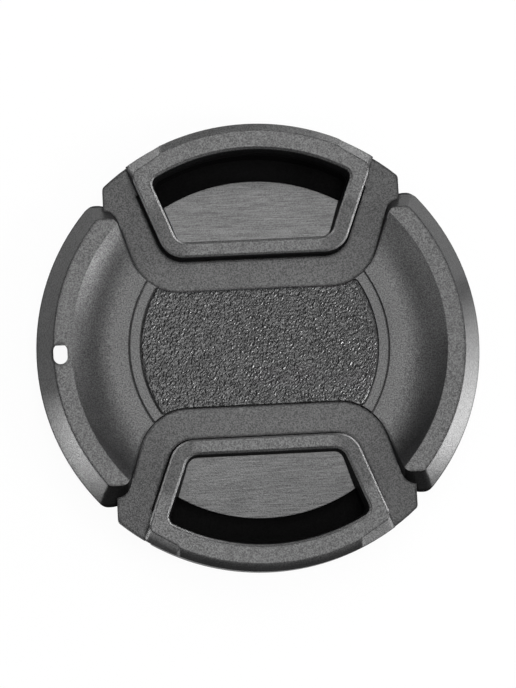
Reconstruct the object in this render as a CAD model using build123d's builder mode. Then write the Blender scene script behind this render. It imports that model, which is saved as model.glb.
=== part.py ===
"""Centre-pinch lens cap for a 58 mm filter thread.

The cap lies on its back: +Z is the front that faces the user, +Y points at one pinch tab and the
tether hole is on the -X side. The origin is the centre of the rear face. Lengths are millimetres.
"""

import os
from math import atan2, cos, pi, radians, sin, sqrt, tan

from build123d import *

# Lens interface
thread_radius = 29.0            # nominal radius of the lens's filter thread
thread_pitch = 0.75
tooth_depth = 0.45              # height of the snap teeth, root to crest
tooth_count = 3
spigot_clearance = 0.7          # thread to the round plug that enters the filter ring
spigot_wall = 1.3
spigot_depth = 4.0              # rear face to the seat that meets the filter ring

# Front shell
flange_overhang = 1.5           # flange past the filter thread
flange_rim = 0.5                # upright edge under the wing's outer slope
channel_height = 1.7            # channel floor above the seat
floor_thickness = 1.1
wing_height = 2.3               # wing land above the channel floor
wing_slope_run = 2.35           # outer slope, seen from the front
wing_land_width = 2.45
wing_bearing = 43.1             # outer corner of the wing's end, round from the X axis
wing_end_angle = 32.5           # lean of the end faces
wing_tip_width = 2.94           # foot of that end, from the flange to the channel
wing_tip_radius = 3.0           # corner at the foot of the wing's tip
wing_top_radius = 1.2           # the same corner at the land
wing_corner_radius = 1.0        # round between the outer slope and the end face
strip_width = 1.3               # flat strip beside the grained panel
strip_rise = 0.6                # strip above the channel floor
strip_step = 0.2                # strip above the scoop's inner edge
scoop_flat = 1.0                # level part of the scoop beside the strip
panel_radius = 16.2
panel_groove = 0.2              # width of the groove between the panel and the strip
strip_groove = 0.25             # width of the groove between the strip and the scoop
groove_depth = 0.55             # both below the strip, less than its rise
panel_corner = 0.7
channel_edge = 8.05             # inner side of the channel, from the X axis
channel_leg_angle = 17.5        # lean of the channel's outer sides from the Y axis
channel_side_angle = 8.0        # draft of those sides
channel_corner_radius = 6.9
channel_rim_reach = 0.25        # channel floor past the flange
channel_shoulder = 1.12         # channel floor past its own side, at the rim
channel_rim_corner = 0.8

# Tether hole through the left wing
tether_inset = 3.3              # its middle, from the flange's edge
tether_width = 1.9              # on the land
tether_length = 2.75
tether_draft = 8.0              # the hole widens to the back
tether_wall = 1.45
tether_relief = 0.8             # cord notch past the hole, behind the seat

# Pinch tabs
travel = 2.0                    # inward movement of each tab
engage_travel = 1.4             # movement at which the teeth lie in the thread
run_clearance = 0.15            # between sliding faces
ring_edge = 12.5                # inner side of the raised ring, from the X axis
ring_half_width = 12.05         # its sharp corner, from the Y axis
ring_leg_angle = 21.1           # lean of the ring's sides from the Y axis
ring_corner_radius = 3.5
ring_bar = 2.05                 # width of the ring's inner side
ring_leg = 2.15                 # width of its slanted sides
ring_gap = 0.3                  # floor opening past the ring
rim_cover = 0.2                 # ring's sides over the floor, outside the slide plate
ring_bevel_width = 0.27         # slope along the ring's other upper edges
ring_bevel_drop = 0.235
tab_reach = 0.3                 # tab's rim past the flange
rim_bevel_width = 1.05          # slope along the rim
rim_bevel_drop = 0.6
rim_width = 3.6                 # rim outside the finger well
well_draft = 9.0
well_inner_corner = 1.8
well_outer_corner = 1.2
slot_inset = 0.3                # slot behind the well's upper edge
slot_width = 3.55
ramp_drop = 1.8                 # finger ramp below the ring's top, at its inner end
ramp_angle = 15.0
scallop_span = 6.2              # sloped corner cut, along the rim
scallop_leg = 2.9               # along the tab's slanted side
scallop_width = 1.4             # in from the rim, beside the slanted side
scallop_turn_width = 1.1       # in from the rim, where it turns outward
scallop_shoulder = 0.15         # ring's corner, in from the slanted side
scallop_depth = 1.45
scallop_run = 1.55               # how far its slope leads out over that depth
scallop_corner = 1.0            # round where it leaves the slanted side
scallop_hollow = 1.5            # round where it turns out to the rim
claw_half_width = 14.2
tooth_half_width = 11.5
slide_thickness = 1.1
slide_half_width = 18.5
slide_edge = 11.0               # inner edge of the slide plate, from the X axis
arm_width = 5.3
arm_end = 7.5                   # spring seat, from the X axis

# Springs
spring_diameter = 2.6           # over the wire
wire_diameter = 0.4
spring_turns = 7
steps_per_turn = 10             # straight steps that stand for one turn
wire_sides = 6                  # flats that stand for the round wire
spring_end_gap = 0.05
peg_play = 0.3                  # square peg's corners inside the coil, both sides together
peg_length = 1.8

# Guides, stakes and back plate
guide_wall = 1.2
guide_length = 10.5
plate_thickness = 1.2
plate_clearance = 0.1
plate_rim = 3.7                 # width of the rim that the cap rests on
plate_recess = 0.3
stake_inset = 5.6               # stakes inside the spigot's wall
stake_y = 5.5
stake_diameter = 2.2
stake_hole_clearance = 0.1

# Levels and places that follow from them
seat_z = spigot_depth
channel_z = seat_z + channel_height
land_z = channel_z + wing_height
strip_z = channel_z + strip_rise
scoop_z = strip_z - strip_step
floor_under_z = channel_z - floor_thickness
ring_under_z = channel_z + run_clearance
slide_top_z = floor_under_z - run_clearance
slide_under_z = slide_top_z - slide_thickness
claw_under_z = plate_thickness + run_clearance
spigot_radius = thread_radius - spigot_clearance
spigot_inner = spigot_radius - spigot_wall
slide_radius = spigot_inner - run_clearance
flange_radius = thread_radius + flange_overhang
channel_rim_radius = flange_radius + channel_rim_reach
tether_radius = flange_radius - tether_inset
land_outer = flange_radius - wing_slope_run
land_inner = land_outer - wing_land_width
strip_radius = panel_radius + panel_groove + strip_width
scoop_start = strip_radius + strip_groove + scoop_flat
wing_end = flange_radius * sin(radians(wing_bearing))
wing_end_x = flange_radius * cos(radians(wing_bearing)) - wing_tip_width
channel_rim_half_width = wing_end_x + channel_shoulder
tab_radius = flange_radius + tab_reach
well_radius = tab_radius - rim_width
slot_radius = well_radius - slot_inset
ramp_radius = slot_radius - slot_width
leg_run = tan(radians(ring_leg_angle))
stake_x = spigot_inner - stake_inset
peg_width = (spring_diameter - 2 * wire_diameter - peg_play) / sqrt(2)
guide_inner = slide_half_width + run_clearance
spigot_window = claw_half_width + run_clearance
spring_x = slide_half_width - arm_width / 2
spring_z = (plate_thickness + floor_under_z) / 2
over = 1.0                      # extra reach of cutting tools past a face
land_clear = 0.2                # reach of the channel cut above the land
fine = 1e-4                     # for comparing levels


def channel_leg_x(y, shift):
    """Half width of the channel at y, with its slanted sides moved out by a distance square to them."""
    lean = radians(channel_leg_angle)
    return wing_end_x + (y - wing_end) * tan(lean) + shift / cos(lean)


def ring_leg_x(y, inset):
    """Half width of the tab at y, with its slanted sides set in by a distance square to them."""
    return ring_half_width + (y - ring_edge) * leg_run - inset / cos(radians(ring_leg_angle))


def tab_outline(edge, inset, radius):
    """Draw the tab's plan: a straight inner edge, two slanted sides and an arc at the rim."""
    far = radius + over
    corners = [
        (-ring_leg_x(edge, inset), edge),
        (ring_leg_x(edge, inset), edge),
        (ring_leg_x(far, inset), far),
        (-ring_leg_x(far, inset), far),
    ]
    Polygon(*corners, align=None)
    Circle(radius, mode=Mode.INTERSECT)


def joins(edge, upper_z, lower_z):
    """Tell whether an edge runs from one level to another."""
    low, high = sorted(((edge @ 0).Z, (edge @ 1).Z))
    return abs(low - lower_z) < fine and abs(high - upper_z) < fine


# Front shell: a turned bow-tie form with a channel on either side, spigot, guides and stakes

with BuildPart() as channel_cut:
    for level in (seat_z, land_z + land_clear):
        side_shift = (level - channel_z) * tan(radians(channel_side_angle))
        edge_y = channel_edge - side_shift
        end_y = wing_end - (level - seat_z) * tan(radians(wing_end_angle))
        edge_x = channel_leg_x(edge_y, side_shift)
        end_x = channel_leg_x(end_y, side_shift)
        reach = flange_radius + over
        with BuildSketch(Plane.XY.offset(level)) as channel_plan:
            Polygon(
                (-reach, end_y),
                (-end_x, end_y),
                (-edge_x, edge_y),
                (edge_x, edge_y),
                (end_x, end_y),
                (reach, end_y),
                (reach, reach),
                (-reach, reach),
                align=None,
            )
            fillet(channel_plan.vertices().group_by(Axis.Y)[0], channel_corner_radius + side_shift)
            tips = channel_plan.vertices().filter_by_position(Axis.X, -end_x - over, end_x + over)
            fillet(tips.group_by(Axis.Y)[-1], wing_tip_radius if level == seat_z else wing_top_radius)
    loft(ruled=True)

with BuildSketch(Plane.XY.offset(strip_z)) as panel_border:
    border_shift = strip_rise * tan(radians(channel_side_angle)) - panel_groove
    border_y = channel_edge - border_shift
    Polygon(
        (-channel_leg_x(border_y, border_shift), border_y),
        (channel_leg_x(border_y, border_shift), border_y),
        (channel_leg_x(wing_end, border_shift), wing_end),
        (-channel_leg_x(wing_end, border_shift), wing_end),
        align=None,
    )
    fillet(panel_border.vertices().group_by(Axis.Y)[0], channel_corner_radius + border_shift)
    mirror(about=Plane.XZ)

with BuildSketch(Plane.XY.offset(strip_z)) as groove_plan:
    Circle(panel_radius + panel_groove)
    add(panel_border.sketch, mode=Mode.SUBTRACT)
    columns = groove_plan.vertices().group_by(Axis.X)
    fillet(columns[0] + columns[-1], panel_corner + panel_groove)
    offset(amount=-panel_groove, mode=Mode.SUBTRACT)

with BuildPart() as tether_cut:
    for level in (seat_z, land_z):
        widening = 2 * (land_z - level) * tan(radians(tether_draft))
        with BuildSketch(Plane.XY.offset(level)):
            with Locations((-tether_radius, 0)):
                SlotOverall(tether_length + widening, tether_width + widening, rotation=90)
    loft(ruled=True)

with BuildSketch() as cord_notch:
    with Locations((tether_width / 2 + tether_relief - tether_radius, 0)):
        notch_width = tether_length + 2 * tether_relief
        RectangleRounded(2 * flange_radius, notch_width, tether_relief, align=(Align.MAX, Align.CENTER))

with BuildPart() as front_shell:
    with BuildSketch(Plane.XZ) as bow_tie_section:
        with BuildLine():
            Polyline(
                (0, seat_z),
                (0, strip_z),
                (strip_radius, strip_z),
                (strip_radius, strip_z - groove_depth),
                (strip_radius + strip_groove, strip_z - groove_depth),
                (strip_radius + strip_groove, scoop_z),
                (scoop_start, scoop_z),
            )
            scoop = TangentArc((scoop_start, scoop_z), (land_inner, land_z), tangent=(1, 0))
            Polyline(
                scoop @ 1,
                (land_outer, land_z),
                (flange_radius, seat_z + flange_rim),
                (flange_radius, seat_z),
                (0, seat_z),
            )
        make_face()
    revolve(axis=Axis.Z)
    add(channel_cut.part, mode=Mode.SUBTRACT)
    add(channel_cut.part.rotate(Axis.Z, 180), mode=Mode.SUBTRACT)
    add(groove_plan.sketch)
    extrude(amount=-groove_depth, mode=Mode.SUBTRACT)
    slope_corners = front_shell.edges().filter_by(lambda edge: joins(edge, land_z, seat_z + flange_rim))
    rim_corners = front_shell.edges().filter_by(lambda edge: joins(edge, seat_z + flange_rim, seat_z))
    fillet(slope_corners + rim_corners, wing_corner_radius)
    with BuildSketch(Plane.XY.offset(seat_z)) as channel_floor:
        Circle(channel_rim_radius)
        Rectangle(2 * channel_rim_half_width, 2 * channel_rim_radius, mode=Mode.INTERSECT)
        fillet(channel_floor.vertices(), channel_rim_corner)
    extrude(amount=channel_height)
    with BuildSketch(Plane.XY.offset(plate_thickness)):
        Circle(spigot_radius)
    extrude(amount=seat_z - plate_thickness)
    with BuildSketch(Plane.XY.offset(plate_thickness)):
        Circle(spigot_inner)
    extrude(amount=floor_under_z - plate_thickness, mode=Mode.SUBTRACT)
    with BuildSketch(Plane.XY.offset(plate_thickness)):
        with Locations((-tether_radius, 0)):
            RectangleRounded(
                tether_width + 2 * tether_wall,
                tether_length + 2 * tether_wall,
                (tether_width + tether_wall) / 2,
            )
        Circle(spigot_radius, mode=Mode.INTERSECT)
    extrude(amount=floor_under_z - plate_thickness)
    with BuildSketch(Plane.XY.offset(plate_thickness)):
        for side in (-1, 1):
            with Locations((side * (guide_inner + guide_wall / 2), 0)):
                Rectangle(guide_wall, 2 * spigot_inner)
        Rectangle(2 * spigot_inner, 2 * (arm_end + guide_length), mode=Mode.INTERSECT)
        Rectangle(2 * spigot_inner, 2 * arm_end, mode=Mode.SUBTRACT)
        Circle(spigot_radius, mode=Mode.INTERSECT)
    extrude(amount=floor_under_z - plate_thickness)
    with BuildSketch(Plane.XY.offset(floor_under_z)):
        with GridLocations(2 * stake_x, 2 * stake_y, 2, 2):
            Circle(stake_diameter / 2)
    extrude(amount=plate_recess - floor_under_z)
    with BuildSketch(Plane.XY.offset(seat_z - over)) as floor_opening:
        tab_outline(ring_edge - ring_gap, -ring_gap, slide_radius)
        fillet(floor_opening.vertices().group_by(Axis.Y)[0], ring_corner_radius + ring_gap)
        tab_outline(ring_edge + ring_bar, rim_cover, tab_radius + over)
        mirror(about=Plane.XZ)
    extrude(amount=channel_height + 2 * over, mode=Mode.SUBTRACT)
    with BuildSketch(Plane.XY):
        Rectangle(2 * spigot_window, 2 * (flange_radius + over))
        Rectangle(2 * spigot_window, 2 * slide_edge, mode=Mode.SUBTRACT)
    extrude(amount=seat_z, mode=Mode.SUBTRACT)
    add(tether_cut.part, mode=Mode.SUBTRACT)
    add(cord_notch.sketch)
    extrude(amount=seat_z, mode=Mode.SUBTRACT)
front_shell.part.label = "front_shell"

# Back plate: closes the rear, stands on its rim and is held by the four stakes

with BuildPart() as back_plate:
    with BuildSketch(Plane.XY):
        Circle(spigot_radius - plate_clearance)
    extrude(amount=plate_thickness)
    with BuildSketch(Plane.XY):
        Circle(spigot_radius - plate_clearance - plate_rim)
    extrude(amount=plate_recess, mode=Mode.SUBTRACT)
    with Locations(Plane.XY.offset(plate_thickness)):
        with GridLocations(2 * stake_x, 2 * stake_y, 2, 2):
            Hole(stake_diameter / 2 + stake_hole_clearance)
    add(cord_notch.sketch)
    extrude(amount=plate_thickness, mode=Mode.SUBTRACT)
back_plate.part.label = "back_plate"

# Pinch tab: ring, finger well, rim and claw in one moulding with its slide plate and spring arms

with BuildPart() as well_cut:
    with BuildSketch(Plane.XY.offset(land_z)) as well_plan:
        tab_outline(ring_edge + ring_bar, ring_leg, well_radius)
        fillet(well_plan.vertices().group_by(Axis.Y)[0], well_inner_corner)
        fillet(well_plan.vertices().group_by(Axis.Y)[-1], well_outer_corner)
    extrude(amount=-(land_z - plate_thickness), taper=well_draft)
    ramp = Plane(
        origin=(0, ring_edge + ring_bar, land_z - ramp_drop),
        x_dir=(1, 0, 0),
        z_dir=(0, sin(radians(ramp_angle)), cos(radians(ramp_angle))),
    )
    with BuildSketch(ramp):
        Rectangle(4 * tab_radius, 4 * tab_radius)
    extrude(amount=-land_z, mode=Mode.SUBTRACT)

with BuildPart() as slot_cut:
    with BuildSketch(Plane.XY.offset(land_z)) as slot_plan:
        tab_outline(ring_edge + ring_bar, ring_leg + slot_inset, slot_radius)
        fillet(slot_plan.vertices().group_by(Axis.Y)[-1], well_outer_corner)
        Circle(ramp_radius, mode=Mode.SUBTRACT)
    extrude(amount=-land_z)

with BuildPart() as scallop_cut:
    leg_foot = ring_leg_x(0, 0)
    reach_y = sqrt(tab_radius**2 * (1 + leg_run**2) - leg_foot**2)
    corner_y = (reach_y - leg_run * leg_foot) / (1 + leg_run**2)
    corner_x = ring_leg_x(corner_y, 0)
    chord_angle = atan2(corner_y, corner_x) + pi / 2 + scallop_span / (2 * tab_radius)
    start_y = corner_y - scallop_leg * cos(radians(ring_leg_angle))
    for level in (land_z - scallop_depth, land_z + land_clear):
        chord = Plane((corner_x, corner_y, level), x_dir=(cos(chord_angle), sin(chord_angle), 0))
        start = chord.to_local_coords(Vector(ring_leg_x(start_y, 0), start_y, level))
        outward = scallop_run * (land_z - level) / scallop_depth
        with BuildSketch(chord.shift_origin(chord.from_local_coords((0, -outward, 0)))) as scallop_plan:
            shoulder = (scallop_shoulder, scallop_width)
            turn = (scallop_span - scallop_hollow, scallop_turn_width)
            Polygon(
                (-over, -over),
                (-over, start.Y),
                (start.X, start.Y),
                shoulder,
                turn,
                (scallop_span, 0),
                (scallop_span + over, -over),
                align=None,
            )
            fillet(scallop_plan.vertices().sort_by_distance(shoulder)[0], scallop_corner)
            fillet(scallop_plan.vertices().sort_by_distance(turn)[0], scallop_hollow)
    loft(ruled=True)

with BuildPart() as pinch_tab:
    with BuildSketch(Plane.XY.offset(ring_under_z)) as ring_plan:
        tab_outline(ring_edge, 0, tab_radius)
        fillet(ring_plan.vertices().group_by(Axis.Y)[0], ring_corner_radius)
    extrude(amount=land_z - ring_under_z)
    ring_top = pinch_tab.faces().sort_by(Axis.Z)[-1]
    rim_edge = ring_top.edges().sort_by(Axis.Y)[-1]
    chamfer(rim_edge, rim_bevel_width, length2=rim_bevel_drop, reference=ring_top)
    ring_top = pinch_tab.faces().sort_by(Axis.Z)[-1]
    ring_edges = ring_top.edges().sort_by(Axis.Y)[:-1]
    chamfer(ring_edges, ring_bevel_width, length2=ring_bevel_drop, reference=ring_top)
    neck_edge = ring_edge - ring_gap + travel + run_clearance
    neck_inset = travel * sin(radians(ring_leg_angle)) + run_clearance - ring_gap
    with BuildSketch(Plane.XY.offset(seat_z + run_clearance)) as neck_plan:
        tab_outline(neck_edge, neck_inset, slide_radius)
        fillet(neck_plan.vertices().group_by(Axis.Y)[0], ring_corner_radius + ring_gap)
        tab_outline(neck_edge + ring_bar, neck_inset + ring_gap + rim_cover, tab_radius)
    extrude(amount=ring_under_z - seat_z - run_clearance)
    with BuildSketch(Plane.XY.offset(slide_under_z)):
        Circle(slide_radius)
        with Locations((0, slide_edge)):
            Rectangle(
                2 * slide_half_width, spigot_radius, align=(Align.CENTER, Align.MIN), mode=Mode.INTERSECT
            )
    extrude(amount=slide_thickness)
    with BuildSketch(Plane.XY.offset(claw_under_z)):
        with Locations((0, engage_travel)):
            Circle(thread_radius - tooth_depth)
        with Locations((0, slide_edge)):
            Rectangle(
                2 * claw_half_width, thread_radius, align=(Align.CENTER, Align.MIN), mode=Mode.INTERSECT
            )
        Circle(ramp_radius, mode=Mode.SUBTRACT)
    extrude(amount=slide_top_z - claw_under_z)
    with BuildSketch(Plane.XY.offset(claw_under_z)):
        with Locations((spring_x, arm_end), (-spring_x, arm_end)):
            Rectangle(arm_width, 2 * (slide_edge - arm_end), align=(Align.CENTER, Align.MIN))
    extrude(amount=slide_top_z - claw_under_z)
    for side in (-1, 1):
        with BuildSketch(Plane((side * spring_x, arm_end, spring_z), z_dir=(0, -1, 0))):
            Rectangle(peg_width, peg_width)
        extrude(amount=peg_length)
    add(well_cut.part, mode=Mode.SUBTRACT)
    ring_top = pinch_tab.faces().sort_by(Axis.Z)[-1]
    well_edges = ring_top.inner_wires().edges()
    chamfer(well_edges, ring_bevel_width, length2=ring_bevel_drop, reference=ring_top)
    add(slot_cut.part, mode=Mode.SUBTRACT)
    add(scallop_cut.part, mode=Mode.SUBTRACT)
    add(scallop_cut.part.mirror(Plane.YZ), mode=Mode.SUBTRACT)

with BuildPart() as snap_teeth:
    with BuildSketch(Plane.XZ) as tooth_section:
        root = thread_radius - tooth_depth
        for tooth in range(tooth_count):
            crest_z = seat_z - (tooth + 0.5) * thread_pitch
            with BuildLine():
                Polyline(
                    (root - over, crest_z - thread_pitch / 2),
                    (root, crest_z - thread_pitch / 2),
                    (thread_radius, crest_z),
                    (root, crest_z + thread_pitch / 2),
                    (root - over, crest_z + thread_pitch / 2),
                    close=True,
                )
            make_face()
    revolve(axis=Axis.Z)
    with BuildSketch(Plane.XY):
        with Locations((0, ramp_radius)):
            Rectangle(2 * tooth_half_width, thread_radius, align=(Align.CENTER, Align.MIN))
    extrude(amount=seat_z, mode=Mode.INTERSECT)

with BuildPart() as pinch_tab_top:
    add(pinch_tab.part)
    add(snap_teeth.part.moved(Location((0, engage_travel, 0))))
pinch_tab_top.part.label = "pinch_tab_top"

with BuildPart() as pinch_tab_bottom:
    add(pinch_tab_top.part.rotate(Axis.Z, 180))
pinch_tab_bottom.part.label = "pinch_tab_bottom"

# Springs: one coil on each side, pressed between the arms of the two tabs


def coil_spring(x):
    """Wind one spring along Y at the given x."""
    coil_radius = (spring_diameter - wire_diameter) / 2
    half = arm_end - wire_diameter / 2 - spring_end_gap
    steps = spring_turns * steps_per_turn
    route = [
        (
            x + coil_radius * cos(2 * pi * step / steps_per_turn),
            -half + 2 * half * step / steps,
            spring_z + coil_radius * sin(2 * pi * step / steps_per_turn),
        )
        for step in range(steps + 1)
    ]
    with BuildPart() as spring:
        with BuildLine() as coil:
            Polyline(*route)
        with BuildSketch(Plane(route[0], z_dir=coil.line % 0)):
            RegularPolygon(wire_diameter / 2, wire_sides)
        sweep(path=coil.line, transition=Transition.RIGHT)
    return spring.part


spring_left = coil_spring(-spring_x)
spring_left.label = "spring_left"
spring_right = coil_spring(spring_x)
spring_right.label = "spring_right"

os.makedirs("parts", exist_ok=True)
export_step(front_shell.part, "parts/front_shell.step")
export_step(back_plate.part, "parts/back_plate.step")
export_step(pinch_tab_top.part, "parts/pinch_tab_top.step")
export_step(pinch_tab_bottom.part, "parts/pinch_tab_bottom.step")
export_step(spring_left, "parts/spring_left.step")
export_step(spring_right, "parts/spring_right.step")
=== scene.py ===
# Looks of a centre-pinch lens cap: finishes with painted shade, grained panel, wire springs, stake heads,
# light and camera.

from math import acos, cos, hypot, pi, radians, sin, sqrt

import bpy
from mathutils import Matrix, Vector, noise


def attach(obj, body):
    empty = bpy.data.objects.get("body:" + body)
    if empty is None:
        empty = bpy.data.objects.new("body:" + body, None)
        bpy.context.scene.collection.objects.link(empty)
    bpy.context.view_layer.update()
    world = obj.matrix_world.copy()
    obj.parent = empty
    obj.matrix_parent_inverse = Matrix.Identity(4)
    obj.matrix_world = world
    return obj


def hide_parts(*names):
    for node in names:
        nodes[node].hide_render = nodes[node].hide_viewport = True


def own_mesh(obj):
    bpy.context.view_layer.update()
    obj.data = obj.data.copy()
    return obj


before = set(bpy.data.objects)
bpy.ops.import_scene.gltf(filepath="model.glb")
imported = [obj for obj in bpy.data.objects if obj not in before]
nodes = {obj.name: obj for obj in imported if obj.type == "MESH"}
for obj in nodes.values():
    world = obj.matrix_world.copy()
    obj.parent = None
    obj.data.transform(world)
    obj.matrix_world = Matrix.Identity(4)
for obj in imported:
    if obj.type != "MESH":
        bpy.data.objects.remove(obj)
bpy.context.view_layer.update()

MM = 0.001
WHITE = (1.0, 1.0, 1.0, 1.0)
OFF_ON = (0.0, 1.0)
ON_OFF = (1.0, 0.0)

# Forms that the solids share, in millimetres
STRIP_Z = 6.3
PANEL_RADIUS = 16.2
PANEL_CORNER = 0.7
CHANNEL_EDGE = 7.966            # side of the channel at the strip's level, from the X axis
CHANNEL_CORNER = 6.984
CHANNEL_CORNER_X = 10.24        # middle of that corner, from the Y axis
SPRING_X = 15.85
SPRING_Z = 2.9
SPRING_END = 7.45
COIL_RADIUS = 1.1
WIRE_RADIUS = 0.2
SPRING_TURNS = 7
STAKE_X = 21.4
STAKE_Y = 5.5
PLATE_RECESS = 0.3

# Forms of the scene's own pieces, in millimetres
PANEL_STRAIGHT = 15.6           # evenly spaced columns of the panel end here
PANEL_END_STEPS = 10            # narrower columns from there to the panel's end
PANEL_LIFT = 0.012              # lowest grain above the strip's level
PANEL_SINK = 0.05               # panel's underside below that level
PANEL_FADE = 0.2                # distance over which the grain rises from the panel's edge
GRAIN_STEP = 0.077
GRAIN_LENGTH = 0.32             # of one fleck of the panel's grain
GRAIN_WIDTH = 0.19
GRAIN_HEIGHT = 0.175
GRAIN_LEAN = radians(57.0)
GRAIN_LEVEL = 0.45              # mean height of the grain, and the parts that flecks and pebbles add
FLECK_PART = 0.6
PEBBLE_PART = 0.2
PEBBLES_ALONG = 1.7             # pebbles in one fleck's length and width
PEBBLES_ACROSS = 1.4
PEBBLE_SHIFT = 9.0
WANDER = 0.25                   # drift of the flecks, and how often it changes in a millimetre
WANDER_RATE = 1.3
WANDER_LAYER = 4.0              # layers of the noise
FLECK_LAYER = 1.7
PEBBLE_LAYER = 5.1
COIL_STEPS = 28                 # in one turn of a spring
WIRE_SIDES = 12
STAKE_HEAD_RADIUS = 1.7
STAKE_HEAD_HEIGHT = 0.25
STAKE_HEAD_SINK = 0.02          # its back inside the plate
STAKE_HEAD_SIDES = 36
STAKE_HEAD_RINGS = (1.0, 0.97, 0.9, 0.75, 0.5, 0.25)

# Sizes of the finishes' marks and painted lines, in millimetres
GRAIN_FINE = 0.18               # grain of the plain faces
MOTTLE = 5.0                    # slow changes of tone
TAB_EDGE = 0.12                 # rounding of a tab's edges
RIM_ROUND = 0.45                # softened outer edge of a tab's rim
BRUSH_WIDTH = 0.15              # brushed lines on the finger ramps
BRUSH_LENGTH = 3.0
BRUSH_HEIGHT = 0.008
SHELL_PAINTED_LINE = 0.6                # reach of the painted dark lines along edges
TAB_PAINTED_LINE = 0.25
WIRE_STREAK = 0.25

# Radii at which marks and painted shade start and end, in millimetres
RIM_WALL = (29.9, 30.2)
CHANNEL_FADE = (14.0, 21.0)
AROUND_STRIP = (19.0, 19.5)
BROW_START = (24.8, 25.0)       # edge between a scoop and its land
BROW_END = (26.4, 26.7)
SCOOP_END = (25.6, 25.75)
LEG_END = (23.5, 25.0)
WELL_END = (25.0, 25.4)
TAB_RIM = (28.0, 28.6)
RIM_SLOPE = (29.6, 30.4)

# Other places at which they do
BELOW_FLOOR_Z = (4.5, 4.7)
ABOVE_CHANNEL_Z = (5.8, 6.0)
LEG_X = (8.5, 10.5)

# Parts of a face's normal at which they do
UPRIGHT_Z = (0.2, 0.4)
STEEP_Z = (0.5, 0.68)
LEVEL_Z = (0.985, 0.995)
WING_END_Y = (-0.66, -0.5)
WING_END_Z = (0.7, 0.8)
SCOOP_SHARES = (0.5, 0.87)      # of X and Y in the way that a scoop's lower side looks
SCOOP_LEAN = (0.23, 0.4)        # along that way
SCOOP_Z = (0.75, 0.82)
RAMP_START_Y = (0.22, 0.25)
RAMP_END_Y = (0.27, 0.30)
RAMP_Z = (0.9, 0.95)
LOWER_RIM_Y = (-0.42, -0.36)
LOWER_RIM_X = (0.2, 0.26)
BEND = (0.96, 0.999)            # agreement of a rounded normal with the face's own
FLECK_PAINTED_LIT_SIDE = (sin(GRAIN_LEAN), -cos(GRAIN_LEAN), 0.0)  # side of a fleck with a painted highlight
FLECK_LEAN = (-0.25, 0.25)      # along that way
PLATE_Z = (0.0, 0.5)

# Shine of the faces, and shares of their shine or colour that faces with painted shade keep
SHINE = (0.12, 0.5)             # of steep and of level faces; steep faces are painted duller
CHANNEL_KEPT = (0.8, 0.62)      # painted shade of the channels, beside the panel and towards the rim
# painted shade on walls, low faces, the shell's edges and the wings' lower ends
PAINTED_SHADE_KEPT = 0.1
SCOOP_PAINTED_SHADE_KEPT = 0.13
TAB_PAINTED_LINE_KEPT = 0.2
LOWER_RIM_PAINTED_SHADE_KEPT = 0.2
LEG_PAINTED_SHADE_KEPT = 0.65
# painted sheen added to the finger ramps
RAMP_PAINTED_SHEEN = 0.17
FLECK_PAINTED_LIGHT = (0.1, 1.45)        # painted shade and painted highlight on the two sides of a fleck
GRAIN_KEPT = (0.55, 1.45)       # between and on the specks of the fine grain
PLATE_SHINE = (0.4, 0.01)       # of its back and its front, the front painted dull
# painted shade on the plate's front colour
PLATE_FRONT_PAINTED_SHADE = 0.25
PAINTED_SHADE_COLOUR = 0.4               # painted shade on walls in the wells and on the wings' lower ends
BRUSH_SHARE = 0.5               # of the brushed lines beside the fine grain, on a ramp
MOTTLE_SHARE = 0.6              # of the slow changes in the tone, beside the fine grain
TONE = (0.7, 1.3)
ROUGHNESS_CHANGE = 0.03
NOISE_MIDDLE = (0.3, 0.7)       # range that most of a noise lies in
GRAIN_MIDDLE = (0.35, 0.65)

BLACK = (0.01, 0.01, 0.0103)
PLASTIC_IOR = 1.55
STEEL_DARK = (0.5, 0.5, 0.49)
STEEL_LIGHT = (0.68, 0.68, 0.67)
STEEL_ROUGHNESS = (0.22, 0.36)

# Finishes, with painted shade and painted highlights


class Nodes:
    """Short calls for building a node tree."""

    def __init__(self, tree):
        self.tree = tree
        tree.nodes.clear()

    def add(self, kind, inputs, **settings):
        """Add a node; an input takes a plain value or another node's output."""
        made = self.tree.nodes.new(kind)
        for key, value in settings.items():
            setattr(made, key, value)
        for key, value in inputs.items():
            if isinstance(value, bpy.types.NodeSocket):
                self.tree.links.new(value, made.inputs[key])
            else:
                made.inputs[key].default_value = value
        return made.outputs

    def math(self, operation, first, second=0.0):
        """Combine two numbers."""
        return self.add("ShaderNodeMath", {0: first, 1: second}, operation=operation)[0]

    def product(self, first, *others):
        """Multiply numbers."""
        for other in others:
            first = self.math("MULTIPLY", first, other)
        return first

    def largest(self, first, *others):
        """The largest of some numbers."""
        for other in others:
            first = self.math("MAXIMUM", first, other)
        return first

    def dot(self, first, second):
        """How far two directions agree."""
        return self.add("ShaderNodeVectorMath", {0: first, 1: second}, operation="DOT_PRODUCT")["Value"]

    def split(self, vector):
        """A vector's X, Y and Z."""
        return self.add("ShaderNodeSeparateXYZ", {"Vector": vector})

    def spread(self, value, ends, results):
        """Map a number from one range to another, held at the ends."""
        inputs = {
            "Value": value,
            "From Min": ends[0],
            "From Max": ends[1],
            "To Min": results[0],
            "To Max": results[1],
        }
        return self.add("ShaderNodeMapRange", inputs)["Result"]

    def span(self, length, ends, results):
        """The same for a length, with its range in millimetres."""
        return self.spread(length, (ends[0] * MM, ends[1] * MM), results)

    def dim(self, level, share, kept):
        """Bring a level down to the part that is kept, where share is 1."""
        return self.product(level, self.spread(share, OFF_ON, (1.0, kept)))

    def noise(self, place, size, detail=2.0):
        """Noise with features of about the given size in millimetres."""
        inputs = {"Vector": place, "Scale": 1.0 / (size * MM), "Detail": detail}
        return self.add("ShaderNodeTexNoise", inputs)["Fac"]

    def principled(self, inputs):
        """End the tree with a surface."""
        surface = self.add("ShaderNodeBsdfPrincipled", inputs)["BSDF"]
        self.add("ShaderNodeOutputMaterial", {"Surface": surface})


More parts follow.
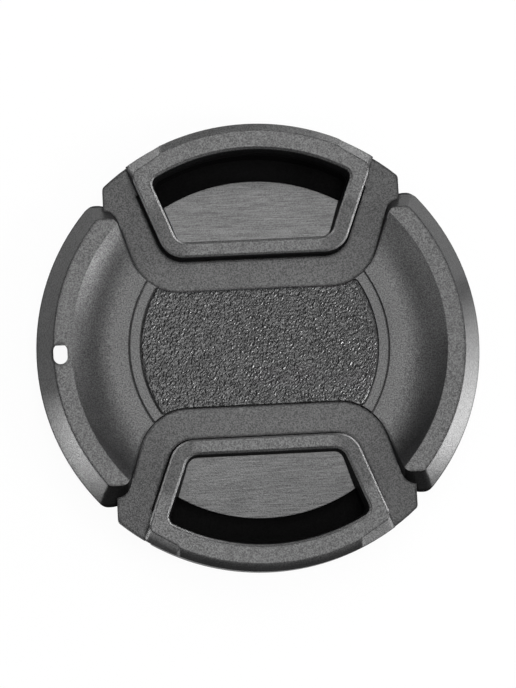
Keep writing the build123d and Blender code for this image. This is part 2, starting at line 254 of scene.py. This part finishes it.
class Spot:
    """What a finish reads at a point of the cap: its place, its face's normal and the noise there."""

    def __init__(self, n):
        geometry = n.add("ShaderNodeNewGeometry", {})
        self.place = n.add("ShaderNodeTexCoord", {})["Object"]
        self.at = n.split(self.place)
        self.smooth = geometry["Normal"]
        self.normal = n.split(geometry["True Normal"])
        level = {0: self.place, 1: (1.0, 1.0, 0.0)}
        level = n.add("ShaderNodeVectorMath", level, operation="MULTIPLY")["Vector"]
        self.radius = n.add("ShaderNodeVectorMath", {0: level}, operation="LENGTH")["Value"]
        self.grain = n.noise(self.place, GRAIN_FINE)
        self.mottle = n.noise(self.place, MOTTLE, 4.0)
        upright = n.spread(self.normal["Z"], UPRIGHT_Z, ON_OFF)
        # upright walls inside the rim, which get painted shade
        self.wall = n.product(upright, n.span(self.radius, RIM_WALL, ON_OFF))
        self.above = n.span(self.at["Z"], ABOVE_CHANNEL_Z, OFF_ON)
        self.tilted = n.spread(self.normal["Z"], LEVEL_Z, ON_OFF)


def new_material(name):
    """An empty material and its nodes."""
    material = bpy.data.materials.new(name)
    material.use_nodes = True
    return material, Nodes(material.node_tree)


def base_shine_with_painted_shade(n, spot, lit=0.0):
    """Shine with painted shade, before what each kind adds.

    Steep faces, upright walls inside the rim, the channels and the faces below their floor are painted
    duller. A face below the floor keeps its shine where lit is 1.
    """
    shine = n.dim(n.spread(spot.normal["Z"], STEEP_Z, SHINE), spot.wall, PAINTED_SHADE_KEPT)
    channel = n.span(spot.radius, CHANNEL_FADE, CHANNEL_KEPT)
    low = n.span(spot.at["Z"], BELOW_FLOOR_Z, (PAINTED_SHADE_KEPT, 1.0))
    return n.product(shine, n.largest(channel, spot.above, spot.tilted), n.largest(low, lit))


def painted_edge_shade(n, spot, reach, kept):
    """Painted dark lines along edges: 1 on open faces, and the part that is kept along their edges."""
    rounded = n.add("ShaderNodeBevel", {"Radius": reach * MM}, samples=4)["Normal"]
    return n.spread(n.dot(rounded, spot.smooth), BEND, (kept, 1.0))


def shell_painted_shade(n, spot):
    """Painted shade: dark lines along the edges, dark lower ends of the wings and dull lower sides of the
    scoops.
    """
    strip = n.product(spot.above, n.span(spot.radius, AROUND_STRIP, ON_OFF))
    brow = n.product(n.span(spot.radius, BROW_START, OFF_ON), n.span(spot.radius, BROW_END, ON_OFF))
    # painted dark lines along the edges, left out around the strip and at the scoop's brow
    painted_line = n.largest(strip, brow, painted_edge_shade(n, spot, SHELL_PAINTED_LINE, PAINTED_SHADE_KEPT))
    way = n.split(spot.smooth)
    # painted shade on the wings' lower ends, in shine and colour
    wing_end_painted_shade = n.spread(way["Y"], WING_END_Y, ON_OFF)
    wing_end_painted_shade = n.product(wing_end_painted_shade, n.spread(spot.normal["Z"], WING_END_Z, ON_OFF))
    # painted shade on the lower sides of the scoops
    sideways = n.product(n.math("ABSOLUTE", way["X"]), SCOOP_SHARES[0])
    lean = n.math("ADD", sideways, n.product(way["Y"], SCOOP_SHARES[1]))
    scoop = n.product(
        n.spread(lean, SCOOP_LEAN, OFF_ON),
        n.spread(spot.normal["Z"], SCOOP_Z, OFF_ON),
        n.span(spot.radius, SCOOP_END, ON_OFF),
    )
    shine = n.product(base_shine_with_painted_shade(n, spot), painted_line)
    shine = n.dim(n.dim(shine, wing_end_painted_shade, PAINTED_SHADE_KEPT), scoop, SCOOP_PAINTED_SHADE_KEPT)
    return {"shine": shine, "colour": n.spread(wing_end_painted_shade, OFF_ON, (1.0, PAINTED_SHADE_COLOUR))}


def tab_brushing_and_painted_shade(n, spot):
    """Brushed ramps with painted sheen, a softened rim; painted shade on legs, edges, lower rim and well
    walls.
    """
    lean = n.math("ABSOLUTE", spot.normal["Y"])
    ramp = n.product(
        n.spread(lean, RAMP_START_Y, OFF_ON),
        n.spread(lean, RAMP_END_Y, ON_OFF),
        n.spread(spot.normal["Z"], RAMP_Z, OFF_ON),
    )
    # painted shade on the ring's legs
    leg_painted_shade = n.product(
        n.span(n.math("ABSOLUTE", spot.at["X"]), LEG_X, OFF_ON),
        n.span(spot.radius, LEG_END, ON_OFF),
        n.spread(spot.normal["Z"], LEVEL_Z, OFF_ON),
    )
    # painted shade on the rim slope that faces the cap's bottom
    lower_rim_painted_shade = n.product(
        spot.tilted,
        n.spread(spot.normal["Y"], LOWER_RIM_Y, ON_OFF),
        n.spread(spot.normal["X"], LOWER_RIM_X, ON_OFF),
        n.span(spot.radius, RIM_SLOPE, OFF_ON),
    )
    # painted dark lines along the edges of the tab's rim
    painted_line = n.largest(n.span(spot.radius, WELL_END, ON_OFF), painted_edge_shade(n, spot, TAB_PAINTED_LINE, TAB_PAINTED_LINE_KEPT))
    # painted sheen on the ramps, which also keep their shine below the floor
    shine = n.math("ADD", base_shine_with_painted_shade(n, spot, ramp), n.product(ramp, RAMP_PAINTED_SHEEN))
    shine = n.product(n.dim(shine, leg_painted_shade, LEG_PAINTED_SHADE_KEPT), painted_line)

    squeeze = (BRUSH_WIDTH / BRUSH_LENGTH, 1.0, 1.0)
    along = n.add("ShaderNodeMapping", {"Vector": spot.place, "Scale": squeeze})["Vector"]
    brushed = n.noise(along, BRUSH_WIDTH, 3.0)
    change = n.product(n.math("SUBTRACT", brushed, spot.grain), BRUSH_SHARE, ramp)
    return {
        "shine": n.dim(shine, lower_rim_painted_shade, LOWER_RIM_PAINTED_SHADE_KEPT),
        # painted shade on the walls in the wells
        "colour": n.spread(spot.wall, OFF_ON, (1.0, PAINTED_SHADE_COLOUR)),
        "specks": n.math("ADD", spot.grain, change),
        "relief": n.product(brushed, ramp, BRUSH_HEIGHT * MM),
        "edge": n.span(spot.radius, TAB_RIM, (TAB_EDGE * MM, RIM_ROUND * MM)),
    }


def panel_painted_highlight(n, spot):
    """Painted highlight on one side of each fleck and painted shade on the other."""
    side = n.spread(n.dot(spot.smooth, FLECK_PAINTED_LIT_SIDE), FLECK_LEAN, FLECK_PAINTED_LIGHT)
    return {"shine": n.product(base_shine_with_painted_shade(n, spot), side)}


def plate_painted_shade(n, spot):
    """Painted shade: a dark dull front, seen only through the wells."""
    return {
        "shine": n.spread(spot.normal["Z"], PLATE_Z, PLATE_SHINE),
        "colour": n.spread(spot.normal["Z"], PLATE_Z, (1.0, PLATE_FRONT_PAINTED_SHADE)),
    }


def plastic(name, marks_and_painted_light_of, roughness, grain, edge):
    """Moulded black plastic with a fine grain, slightly rounded edges and its kind's painted shade and
    highlights.
    """
    material, n = new_material(name)
    spot = Spot(n)
    marks_and_painted_light = marks_and_painted_light_of(n, spot)
    height = n.product(spot.grain, grain * MM)
    height = n.math("ADD", height, marks_and_painted_light.get("relief", 0.0))
    rounded = n.add("ShaderNodeBevel", {"Radius": marks_and_painted_light.get("edge", edge * MM)}, samples=4)["Normal"]
    bump = n.add("ShaderNodeBump", {"Height": height, "Distance": 1.0, "Normal": rounded})["Normal"]
    specks = n.spread(marks_and_painted_light.get("specks", spot.grain), GRAIN_MIDDLE, GRAIN_KEPT)
    slow = n.product(spot.mottle, MOTTLE_SHARE)
    tone = n.math("ADD", slow, n.product(spot.grain, 1.0 - MOTTLE_SHARE))
    # painted shade darkens the colour where the kind asks for it
    tint = n.product(n.spread(tone, NOISE_MIDDLE, TONE), marks_and_painted_light.get("colour", 1.0))
    rough = (roughness - ROUGHNESS_CHANGE, roughness + ROUGHNESS_CHANGE)
    n.principled({
        "Base Color": n.add("ShaderNodeVectorMath", {0: BLACK, "Scale": tint}, operation="SCALE")["Vector"],
        "Roughness": n.spread(spot.mottle, NOISE_MIDDLE, rough),
        "IOR": PLASTIC_IOR,
        # painted shade and painted highlights go in through the specular level
        "Specular IOR Level": n.product(marks_and_painted_light["shine"], specks),
        "Normal": bump,
    })
    return material


def steel(name):
    """Drawn spring wire."""
    material, n = new_material(name)
    streak = n.noise(n.add("ShaderNodeTexCoord", {})["Object"], WIRE_STREAK, 3.0)
    colours = {0: streak, 6: (*STEEL_DARK, 1.0), 7: (*STEEL_LIGHT, 1.0)}
    n.principled({
        "Base Color": n.add("ShaderNodeMix", colours, data_type="RGBA")[2],
        "Metallic": 1.0,
        "Roughness": n.spread(streak, NOISE_MIDDLE, STEEL_ROUGHNESS),
    })
    return material


# The grain's height and the rounding of the edges are in millimetres
shell_plastic_with_painted_shade = plastic("shell_plastic_painted_shade", shell_painted_shade, roughness=0.32, grain=0.03, edge=0.15)
tab_plastic_with_painted_shade = plastic("tab_plastic_painted_shade", tab_brushing_and_painted_shade, roughness=0.32, grain=0.03, edge=TAB_EDGE)
panel_plastic_with_painted_light = plastic("panel_plastic_painted_light", panel_painted_highlight, roughness=0.23, grain=0.006, edge=0.01)
plate_plastic_with_painted_shade = plastic("plate_plastic_painted_shade", plate_painted_shade, roughness=0.45, grain=0.02, edge=0.1)
spring_finish = steel("spring_steel_finish")

finishes = {
    "front_shell": shell_plastic_with_painted_shade,
    "back_plate": plate_plastic_with_painted_shade,
    "pinch_tab_top": tab_plastic_with_painted_shade,
    "pinch_tab_bottom": tab_plastic_with_painted_shade,
}
for name, finish in finishes.items():
    nodes[name].material_slots[0].material = finish


# Pieces


def piece(name, points, faces, finish):
    """Make a smooth mesh from points in millimetres; it moves with the cap's body."""
    mesh = bpy.data.meshes.new(name)
    mesh.from_pydata([(x * MM, y * MM, z * MM) for x, y, z in points], [], faces)
    mesh.materials.append(finish)
    mesh.polygons.foreach_set("use_smooth", [True] * len(mesh.polygons))
    mesh.update()
    made = bpy.data.objects.new(name, mesh)
    bpy.context.scene.collection.objects.link(made)
    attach(made, "cap_body")
    return made


def panel_half_width(x):
    """Half width of the grained panel at x: channel side, its corner, a small round and the outer arc."""
    x = abs(x)
    corner = (CHANNEL_CORNER_X, CHANNEL_EDGE + CHANNEL_CORNER)
    inner = PANEL_RADIUS - PANEL_CORNER
    outer = CHANNEL_CORNER + PANEL_CORNER
    apart = hypot(*corner)
    along = (inner**2 - outer**2 + apart**2) / (2 * apart)
    aside = sqrt(inner**2 - along**2)
    round_x = (along * corner[0] + aside * corner[1]) / apart
    round_y = (along * corner[1] - aside * corner[0]) / apart
    side_end = round_x + (corner[0] - round_x) * PANEL_CORNER / outer
    arc_start = round_x * PANEL_RADIUS / inner
    if x <= corner[0]:
        return CHANNEL_EDGE
    if x <= side_end:
        return corner[1] - sqrt(CHANNEL_CORNER**2 - (x - corner[0]) ** 2)
    if x <= arc_start:
        return round_y + sqrt(max(PANEL_CORNER**2 - (x - round_x) ** 2, 0.0))
    return sqrt(max(PANEL_RADIUS**2 - x**2, 0.0))


def panel_grain(x, y):
    """Height of the panel's grain, from 0 to 1: short leaning flecks with finer pebbles between them."""
    wander = WANDER * noise.noise((x * WANDER_RATE, y * WANDER_RATE, WANDER_LAYER))
    u = (x * cos(GRAIN_LEAN) + y * sin(GRAIN_LEAN)) / GRAIN_LENGTH + wander
    v = (y * cos(GRAIN_LEAN) - x * sin(GRAIN_LEAN)) / GRAIN_WIDTH - wander
    fleck = noise.noise((u, v, FLECK_LAYER))
    pebble = noise.noise((PEBBLES_ALONG * u + PEBBLE_SHIFT, PEBBLES_ACROSS * v, PEBBLE_LAYER))
    height = GRAIN_LEVEL + FLECK_PART * fleck + PEBBLE_PART * pebble
    return min(max(height, 0.0), 1.0)


def grained_panel():
    """The panel's grained face as a thin closed sheet laid on the shell."""
    count = round(2 * PANEL_STRAIGHT / GRAIN_STEP)
    columns = [PANEL_STRAIGHT * (2 * i / count - 1) for i in range(count + 1)]
    turn = acos(PANEL_STRAIGHT / PANEL_RADIUS)
    ends = [PANEL_RADIUS * cos(turn * (1 - i / PANEL_END_STEPS)) for i in range(1, PANEL_END_STEPS)]
    columns = [-x for x in reversed(ends)] + columns + ends
    rows = round(2 * CHANNEL_EDGE / GRAIN_STEP)
    points = []
    for x in columns:
        half = panel_half_width(x)
        for j in range(rows + 1):
            y = half * (2 * j / rows - 1)
            edge = min(half - abs(y), PANEL_RADIUS - hypot(x, y))
            rise = min(edge / PANEL_FADE, 1.0)
            points.append((x, y, STRIP_Z + PANEL_LIFT + GRAIN_HEIGHT * panel_grain(x, y) * rise))
    faces = []
    side = rows + 1
    for i in range(len(columns) - 1):
        for j in range(rows):
            first = i * side + j
            faces.append((first, first + side, first + side + 1, first + 1))
    base = len(points)
    low = STRIP_Z - PANEL_SINK
    for x in columns:
        half = panel_half_width(x)
        points += [(x, -half, low), (x, half, low)]
    for i in range(len(columns) - 1):
        near, far = base + 2 * i, base + 2 * i + 2
        faces.append((near, near + 1, far + 1, far))
        faces.append((near, far, (i + 1) * side, i * side))
        faces.append((far + 1, near + 1, i * side + rows, (i + 1) * side + rows))
    last = len(columns) - 1
    faces.append(tuple(range(rows, -1, -1)) + (base, base + 1))
    faces.append(tuple(last * side + j for j in range(rows + 1)) + (base + 2 * last + 1, base + 2 * last))
    return piece("grained_panel", points, faces, panel_plastic_with_painted_light)


def half_spring(name, x, direction):
    """Half of one coil spring, from the cap's middle to a tab's arm, in round wire."""
    steps = round(SPRING_TURNS / 2 * COIL_STEPS)
    length = SPRING_END - WIRE_RADIUS
    pitch = direction * length / steps * COIL_STEPS / (2 * pi)
    points, faces = [], []
    for i in range(steps + 1):
        angle = 2 * pi * i / COIL_STEPS
        out = Vector((cos(angle), 0.0, sin(angle)))
        centre = Vector((x, direction * length * i / steps, SPRING_Z)) + COIL_RADIUS * out
        along = Vector((-COIL_RADIUS * sin(angle), pitch, COIL_RADIUS * cos(angle))).normalized()
        across = along.cross(out)
        for k in range(WIRE_SIDES):
            turn = 2 * pi * k / WIRE_SIDES
            points.append(tuple(centre + WIRE_RADIUS * (out * cos(turn) + across * sin(turn))))
    for i in range(steps):
        for k in range(WIRE_SIDES):
            first, after = i * WIRE_SIDES + k, i * WIRE_SIDES + (k + 1) % WIRE_SIDES
            faces.append((first, after, after + WIRE_SIDES, first + WIRE_SIDES))
    faces.append(tuple(reversed(range(WIRE_SIDES))))
    faces.append(tuple(steps * WIRE_SIDES + k for k in range(WIRE_SIDES)))
    return piece(name, points, faces, spring_finish)


def stake_head(name, x, y):
    """Melted dome on the end of one of the shell's stakes, in the recess of the plate."""
    sides = STAKE_HEAD_SIDES
    levels = [(1.0, -STAKE_HEAD_SINK)]
    levels += [(share, STAKE_HEAD_HEIGHT * sqrt(1 - share**2)) for share in STAKE_HEAD_RINGS]
    points, faces = [], []
    for share, depth in levels:
        reach = STAKE_HEAD_RADIUS * share
        for k in range(sides):
            turn = 2 * pi * k / sides
            points.append((x + reach * cos(turn), y + reach * sin(turn), PLATE_RECESS - depth))
    last = (len(levels) - 1) * sides
    for start in range(0, last, sides):
        for k in range(sides):
            first, after = start + k, start + (k + 1) % sides
            faces.append((first, first + sides, after + sides, after))
    tip = len(points)
    points.append((x, y, PLATE_RECESS - STAKE_HEAD_HEIGHT))
    faces += [(last + k, tip, last + (k + 1) % sides) for k in range(sides)]
    faces.append(tuple(range(sides)))
    return piece(name, points, faces, shell_plastic_with_painted_shade)


grained_panel()
for side, x in (("left", -STAKE_X), ("right", STAKE_X)):
    for end, y in (("top", STAKE_Y), ("bottom", -STAKE_Y)):
        stake_head(f"stake_head_{side}_{end}", x, y)
for side, x in (("left", -SPRING_X), ("right", SPRING_X)):
    for end, direction in (("top", 1), ("bottom", -1)):
        half = half_spring(f"spring_{side}_{end}", x, direction)
        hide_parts(f"spring_{side}")
        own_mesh(half)

# Camera, matched to the photo

IMAGE_HEIGHT = 688
PIXEL = 0.1373 * MM             # at the cap's middle height
TURN = radians(3.1)             # of the cap, as the photo shows it
DISTANCE = 0.4
AIM_Z = 4.8 * MM
AIM_ACROSS = -1.0 * PIXEL       # photo's middle from the cap's axis
AIM_UP = 3.8 * PIXEL
TILT_ACROSS = -0.06             # camera's place off that axis, for each unit of height
TILT_UP = -0.13
right = Vector((cos(TURN), -sin(TURN), 0.0))
up = Vector((sin(TURN), cos(TURN), 0.0))
top = Vector((0.0, 0.0, 1.0))


def from_photo(across, upward, height):
    """Point given along the photo's right, its up and the cap's front."""
    return across * right + upward * up + height * top


def facing(place, target, upward):
    """Matrix at place that looks at target with its local -Z."""
    back = (place - target).normalized()
    across = upward.cross(back).normalized()
    turn = Matrix((across, back.cross(across), back)).transposed().to_4x4()
    return Matrix.Translation(place) @ turn


aim = from_photo(AIM_ACROSS, AIM_UP, AIM_Z)
toward = from_photo(TILT_ACROSS, TILT_UP, 1.0).normalized()
camera = bpy.data.objects.new("camera", bpy.data.cameras.new("camera"))
bpy.context.scene.collection.objects.link(camera)
camera.matrix_world = facing(aim + DISTANCE * toward, aim, up)
camera.data.lens = camera.data.sensor_width * DISTANCE / (IMAGE_HEIGHT * PIXEL)
camera.data.clip_start = 0.01
bpy.context.scene.camera = camera

# Light, in metres

LIT_Z = 6.0 * MM                # height that the key and the fill look at
ROOM_RISE = (0.2, 0.36)         # sine of the height over which the room darkens
ROOM_LEVEL = (1.2, 0.2)         # below and above it
# Glows in the room: bearing in degrees from the photo's right, agreement with it where the glow starts and
# is full, strength, and the rise where it is full and gone
ROOM_GLOWS = (
    (165.0, (0.6, 1.0), 8.0, (0.12, 0.24)),
    (240.0, (0.88, 0.97), 2.5, (0.2, 0.36)),
    (130.0, (0.88, 0.97), 9.0, (0.05, 0.25)),
    (50.0, (0.88, 0.97), 15.0, (0.05, 0.25)),
    (0.0, (0.1, 0.7), 5.0, (0.2, 0.36)),
    (7.0, (0.88, 0.94), 15.0, (0.1, 0.2)),
)
FLOOR_SIDE = 6.0
FLOOR_Z = -0.02 * MM
FLOOR_GREY = (0.6, 0.6, 0.6, 1.0)
FLOOR_PLAIN = 0.94              # share of plain white that the camera and reflections see
FLAG_Z = 0.4 * MM
FLAG_GREY = (0.01, 0.01, 0.01, 1.0)
CARD_Z = 0.8 * MM


def soft_box(name, place, target, size, radiance, upward):
    """Rectangular lamp of a given brightness that faces the target."""
    lamp = bpy.data.lights.new(name, "AREA")
    lamp.shape = "RECTANGLE"
    lamp.size, lamp.size_y = size
    lamp.energy = radiance * pi * lamp.size * lamp.size_y
    made = bpy.data.objects.new(name, lamp)
    made.matrix_world = facing(place, target, upward)
    made.visible_camera = False
    bpy.context.scene.collection.objects.link(made)


def room():
    """World light that glows near the horizon in some directions."""
    world = bpy.data.worlds.new("room")
    bpy.context.scene.world = world
    world.use_nodes = True
    n = Nodes(world.node_tree)
    direction = n.add("ShaderNodeTexCoord", {})["Generated"]
    rise = n.split(direction)["Z"]
    level = n.spread(rise, ROOM_RISE, ROOM_LEVEL)
    for bearing, agreement, strength, fade in ROOM_GLOWS:
        heading = from_photo(cos(radians(bearing)), sin(radians(bearing)), 0.0)
        along = n.dot(direction, tuple(heading))
        glow = n.product(n.spread(along, agreement, (0.0, strength)), n.spread(rise, fade, ON_OFF))
        level = n.math("ADD", level, glow)
    lit = n.add("ShaderNodeBackground", {"Color": WHITE, "Strength": level})[0]
    n.add("ShaderNodeOutputWorld", {"Surface": lit})


def floor_material():
    """Matte white that looks plain white to the camera and in reflections."""
    material, n = new_material("floor_white")
    matte = n.add("ShaderNodeBsdfDiffuse", {"Color": FLOOR_GREY})[0]
    plain = n.add("ShaderNodeEmission", {"Color": WHITE, "Strength": 1.0})[0]
    path = n.add("ShaderNodeLightPath", {})
    seen = n.largest(path["Is Camera Ray"], path["Is Glossy Ray"], path["Is Transmission Ray"])
    mixed = n.add("ShaderNodeMixShader", {0: n.product(seen, FLOOR_PLAIN), 1: matte, 2: plain})[0]
    n.add("ShaderNodeOutputMaterial", {"Surface": mixed})
    return material


def flag_material():
    """Soot black."""
    material, n = new_material("flag_black")
    soot = n.add("ShaderNodeBsdfDiffuse", {"Color": FLAG_GREY})[0]
    n.add("ShaderNodeOutputMaterial", {"Surface": soot})
    return material


def card_material(name, length, strength):
    """Light that falls off evenly from the card's middle to its two ends."""
    material, n = new_material(name)
    at = n.split(n.add("ShaderNodeTexCoord", {})["Object"])
    level = n.spread(n.math("ABSOLUTE", at["Y"]), (0.0, length / 2), (strength, 0.0))
    bright = n.add("ShaderNodeEmission", {"Color": WHITE, "Strength": level})[0]
    n.add("ShaderNodeOutputMaterial", {"Surface": bright})
    return material


def sheet(name, width, length, place, finish):
    """Level rectangle that isn't part of the cap."""
    x, y = width / 2, length / 2
    mesh = bpy.data.meshes.new(name)
    mesh.from_pydata([(-x, -y, 0), (x, -y, 0), (x, y, 0), (-x, y, 0)], [], [(0, 1, 2, 3)])
    mesh.materials.append(finish)
    made = bpy.data.objects.new(name, mesh)
    made.location = place
    bpy.context.scene.collection.objects.link(made)
    return made


def unseen(made):
    """Leave a sheet to reflections alone."""
    made.visible_camera = False
    made.visible_diffuse = False
    made.visible_shadow = False


# A long soft box overhead, a small key on the right, a wide fill on the left, a room that is brightest near
# the horizon, a black flag below the cap and bright cards on the floor beside the wings
middle = from_photo(0, 0, LIT_Z)
over_middle = from_photo(0.03, 0.40, 0.6)
key_place = from_photo(0.453, -0.138, 0.368)
fill_place = from_photo(-0.378, -0.176, 0.43)
soft_box("overhead", over_middle, over_middle - top, size=(0.30, 1.60), radiance=4.4, upward=up)
soft_box("key", key_place, middle, size=(0.14, 0.14), radiance=25.0, upward=top)
soft_box("fill", fill_place, middle, size=(0.30, 0.30), radiance=1.9, upward=top)
room()
sheet("floor", FLOOR_SIDE, FLOOR_SIDE, (0, 0, FLOOR_Z), floor_material())
flag_place = from_photo(0, -0.05475, FLAG_Z)
unseen(sheet("flag", width=0.058, length=0.0425, place=flag_place, finish=flag_material()))
for name, across, upward, width, length, strength in (
    ("card_right", 0.059, -0.0165, 0.052, 0.060, 11.2),
    ("card_left", -0.052, -0.0295, 0.030, 0.044, 25.0),
):
    card_place = from_photo(across, upward, CARD_Z)
    unseen(sheet(name, width, length, card_place, card_material(name, length, strength)))

bpy.context.scene.view_settings.view_transform = "Standard"
